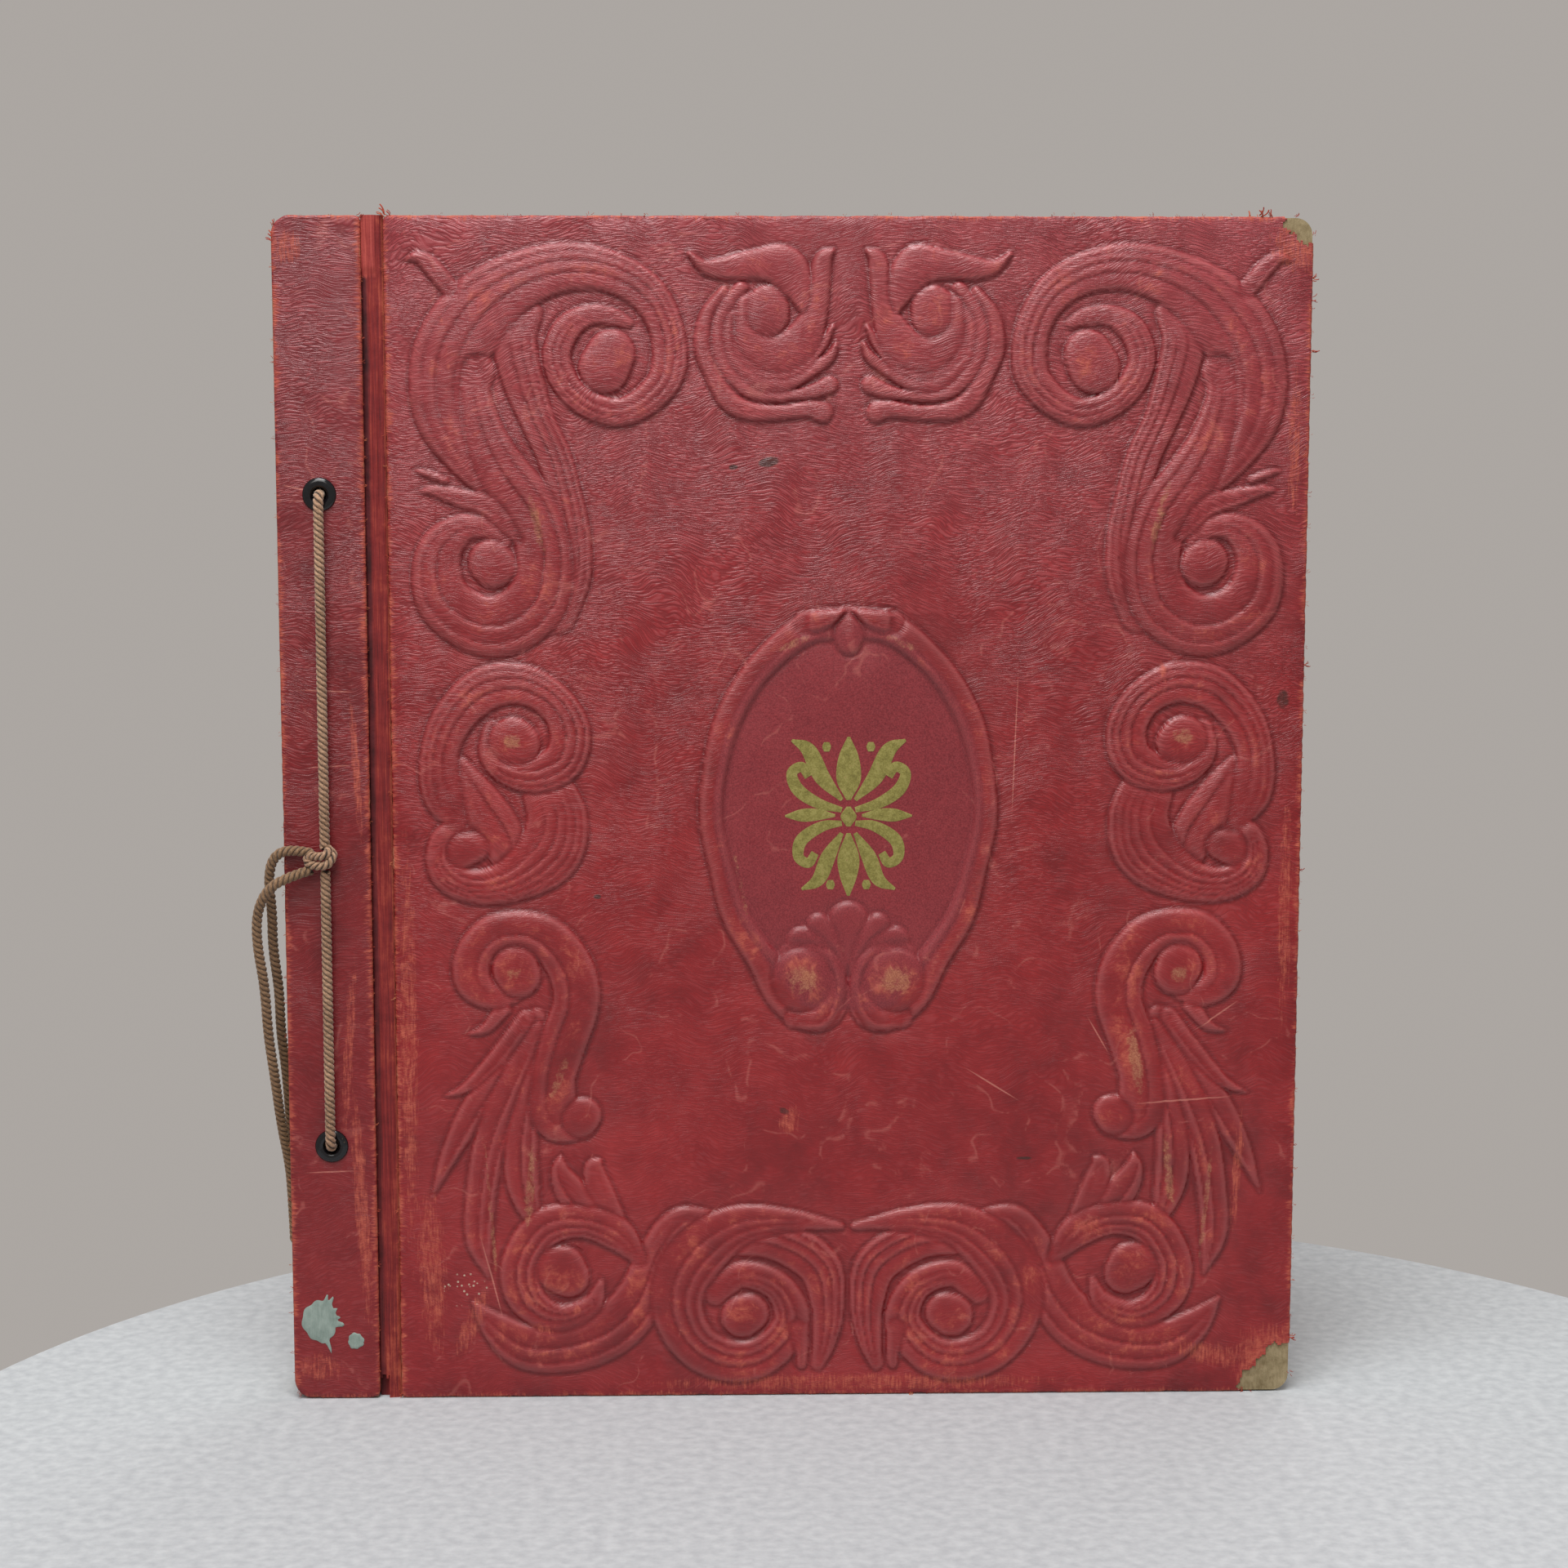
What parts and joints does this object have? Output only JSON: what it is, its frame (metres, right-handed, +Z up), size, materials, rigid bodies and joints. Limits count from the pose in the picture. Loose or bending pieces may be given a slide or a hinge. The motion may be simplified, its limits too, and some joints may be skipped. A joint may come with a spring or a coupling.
{
  "type": "cord-bound scrapbook album",
  "caption": "Upright scrapbook album with embossed leatherette covers, stiff binding strips, eyelets, a tied lacing cord and turning leaves.",
  "frame": {"origin": "middle of the closed album's footprint, at the tail edge that it stands on", "axes": "+X from the binding edge to the fore edge, +Z up along the binding, front cover facing -Y"},
  "size_m": [0.3149, 0.0343, 0.356],
  "materials": {
    "leatherette": "embossed red leatherette, worn",
    "board": "grey-olive bookbinder's board",
    "endpaper": "matt aged endpaper",
    "leaf_paper": "thick aged album paper",
    "cord": "three-strand twisted brown cord",
    "eyelet": "glossy black enamel"
  },
  "bodies": {
    "binding": {"front_strip_board": "board", "front_strip_lining": "endpaper", "front_strip_covering": "leatherette", "front_hinge_outer": "leatherette", "front_hinge_inner": "endpaper", "front_upper_eyelet": "eyelet", "front_lower_eyelet": "eyelet", "rear_strip_board": "board", "rear_strip_lining": "endpaper", "rear_strip_covering": "leatherette", "rear_hinge_outer": "leatherette", "rear_hinge_inner": "endpaper", "rear_upper_eyelet": "eyelet", "rear_lower_eyelet": "eyelet", "leaf_margins": "leaf_paper", "guard_strips": "leaf_paper", "leaf_creases": "leaf_paper", "binding_cord": "cord", "cord_knot": "cord", "inner_tail": "cord", "outer_tail": "cord"},
    "front_cover": {"front_cover_board": "board", "front_cover_lining": "endpaper", "front_cover_covering": "leatherette"},
    "rear_cover": {"rear_cover_board": "board", "rear_cover_lining": "endpaper", "rear_cover_covering": "leatherette"},
    "leaf_01": {"leaf_01": "leaf_paper"},
    "leaf_02": {"leaf_02": "leaf_paper"},
    "leaf_03": {"leaf_03": "leaf_paper"},
    "leaf_04": {"leaf_04": "leaf_paper"},
    "leaf_05": {"leaf_05": "leaf_paper"},
    "leaf_06": {"leaf_06": "leaf_paper"},
    "leaf_07": {"leaf_07": "leaf_paper"},
    "leaf_08": {"leaf_08": "leaf_paper"},
    "leaf_09": {"leaf_09": "leaf_paper"},
    "leaf_10": {"leaf_10": "leaf_paper"},
    "leaf_11": {"leaf_11": "leaf_paper"},
    "leaf_12": {"leaf_12": "leaf_paper"},
    "leaf_13": {"leaf_13": "leaf_paper"},
    "leaf_14": {"leaf_14": "leaf_paper"},
    "leaf_15": {"leaf_15": "leaf_paper"},
    "leaf_16": {"leaf_16": "leaf_paper"}
  },
  "joints": [
    {"name": "front_cover_hinge", "type": "hinge", "parent": "binding", "child": "front_cover", "pos_m": [-0.12325, -0.01175, 0], "axis": [0, 0, -1], "range_deg": [0, 150], "deforming": ["front_hinge_outer", "front_hinge_inner"]},
    {"name": "rear_cover_hinge", "type": "hinge", "parent": "binding", "child": "rear_cover", "pos_m": [-0.12325, 0.01175, 0], "axis": [0, 0, 1], "range_deg": [0, 165], "deforming": ["rear_hinge_outer", "rear_hinge_inner"]},
    {"name": "leaf_01_hinge", "type": "hinge", "parent": "binding", "child": "leaf_01", "pos_m": [-0.1195, -0.0075, 0], "axis": [0, 0, -1], "range_deg": [0, 112.5], "deforming": ["leaf_creases"]},
    {"name": "leaf_02_hinge", "type": "hinge", "parent": "binding", "child": "leaf_02", "pos_m": [-0.1185, -0.0065, 0], "axis": [0, 0, -1], "range_deg": [0, 105.5], "deforming": ["leaf_creases"]},
    {"name": "leaf_03_hinge", "type": "hinge", "parent": "binding", "child": "leaf_03", "pos_m": [-0.11767, -0.0055, 0], "axis": [0, 0, -1], "range_deg": [0, 98.5], "deforming": ["leaf_creases"]},
    {"name": "leaf_04_hinge", "type": "hinge", "parent": "binding", "child": "leaf_04", "pos_m": [-0.11697, -0.0045, 0], "axis": [0, 0, -1], "range_deg": [0, 91.5], "deforming": ["leaf_creases"]},
    {"name": "leaf_05_hinge", "type": "hinge", "parent": "binding", "child": "leaf_05", "pos_m": [-0.1164, -0.0035, 0], "axis": [0, 0, -1], "range_deg": [0, 84.5], "deforming": ["leaf_creases"]},
    {"name": "leaf_06_hinge", "type": "hinge", "parent": "binding", "child": "leaf_06", "pos_m": [-0.11595, -0.0025, 0], "axis": [0, 0, -1], "range_deg": [0, 77.5], "deforming": ["leaf_creases"]},
    {"name": "leaf_07_hinge", "type": "hinge", "parent": "binding", "child": "leaf_07", "pos_m": [-0.11562, -0.0015, 0], "axis": [0, 0, -1], "range_deg": [0, 70.5], "deforming": ["leaf_creases"]},
    {"name": "leaf_08_hinge", "type": "hinge", "parent": "binding", "child": "leaf_08", "pos_m": [-0.1154, -0.0005, 0], "axis": [0, 0, -1], "range_deg": [0, 63.5], "deforming": ["leaf_creases"]},
    {"name": "leaf_09_hinge", "type": "hinge", "parent": "binding", "child": "leaf_09", "pos_m": [-0.11529, 0.0005, 0], "axis": [0, 0, -1], "range_deg": [0, 56.5], "deforming": ["leaf_creases"]},
    {"name": "leaf_10_hinge", "type": "hinge", "parent": "binding", "child": "leaf_10", "pos_m": [-0.11529, 0.0015, 0], "axis": [0, 0, -1], "range_deg": [0, 49.5], "deforming": ["leaf_creases"]},
    {"name": "leaf_11_hinge", "type": "hinge", "parent": "binding", "child": "leaf_11", "pos_m": [-0.11529, 0.0025, 0], "axis": [0, 0, -1], "range_deg": [0, 42.5], "deforming": ["leaf_creases"]},
    {"name": "leaf_12_hinge", "type": "hinge", "parent": "binding", "child": "leaf_12", "pos_m": [-0.11529, 0.0035, 0], "axis": [0, 0, -1], "range_deg": [0, 35.5], "deforming": ["leaf_creases"]},
    {"name": "leaf_13_hinge", "type": "hinge", "parent": "binding", "child": "leaf_13", "pos_m": [-0.11529, 0.0045, 0], "axis": [0, 0, -1], "range_deg": [0, 28.5], "deforming": ["leaf_creases"]},
    {"name": "leaf_14_hinge", "type": "hinge", "parent": "binding", "child": "leaf_14", "pos_m": [-0.11529, 0.0055, 0], "axis": [0, 0, -1], "range_deg": [0, 21.5], "deforming": ["leaf_creases"]},
    {"name": "leaf_15_hinge", "type": "hinge", "parent": "binding", "child": "leaf_15", "pos_m": [-0.11529, 0.0065, 0], "axis": [0, 0, -1], "range_deg": [0, 14.5], "deforming": ["leaf_creases"]},
    {"name": "leaf_16_hinge", "type": "hinge", "parent": "binding", "child": "leaf_16", "pos_m": [-0.11529, 0.0075, 0], "axis": [0, 0, -1], "range_deg": [0, 7.5], "deforming": ["leaf_creases"]}
  ],
  "couplings": [
    {"joint": "leaf_01_hinge", "follows": "front_cover_hinge", "ratio": 0.74667},
    {"joint": "leaf_02_hinge", "follows": "front_cover_hinge", "ratio": 0.7},
    {"joint": "leaf_03_hinge", "follows": "front_cover_hinge", "ratio": 0.65333},
    {"joint": "leaf_04_hinge", "follows": "front_cover_hinge", "ratio": 0.60667},
    {"joint": "leaf_05_hinge", "follows": "front_cover_hinge", "ratio": 0.56},
    {"joint": "leaf_06_hinge", "follows": "front_cover_hinge", "ratio": 0.51333},
    {"joint": "leaf_07_hinge", "follows": "front_cover_hinge", "ratio": 0.46667},
    {"joint": "leaf_08_hinge", "follows": "front_cover_hinge", "ratio": 0.42},
    {"joint": "leaf_09_hinge", "follows": "front_cover_hinge", "ratio": 0.37333},
    {"joint": "leaf_10_hinge", "follows": "front_cover_hinge", "ratio": 0.32667},
    {"joint": "leaf_11_hinge", "follows": "front_cover_hinge", "ratio": 0.28},
    {"joint": "leaf_12_hinge", "follows": "front_cover_hinge", "ratio": 0.23333},
    {"joint": "leaf_13_hinge", "follows": "front_cover_hinge", "ratio": 0.18667},
    {"joint": "leaf_14_hinge", "follows": "front_cover_hinge", "ratio": 0.14},
    {"joint": "leaf_15_hinge", "follows": "front_cover_hinge", "ratio": 0.093333},
    {"joint": "leaf_16_hinge", "follows": "front_cover_hinge", "ratio": 0.046667}
  ]
}
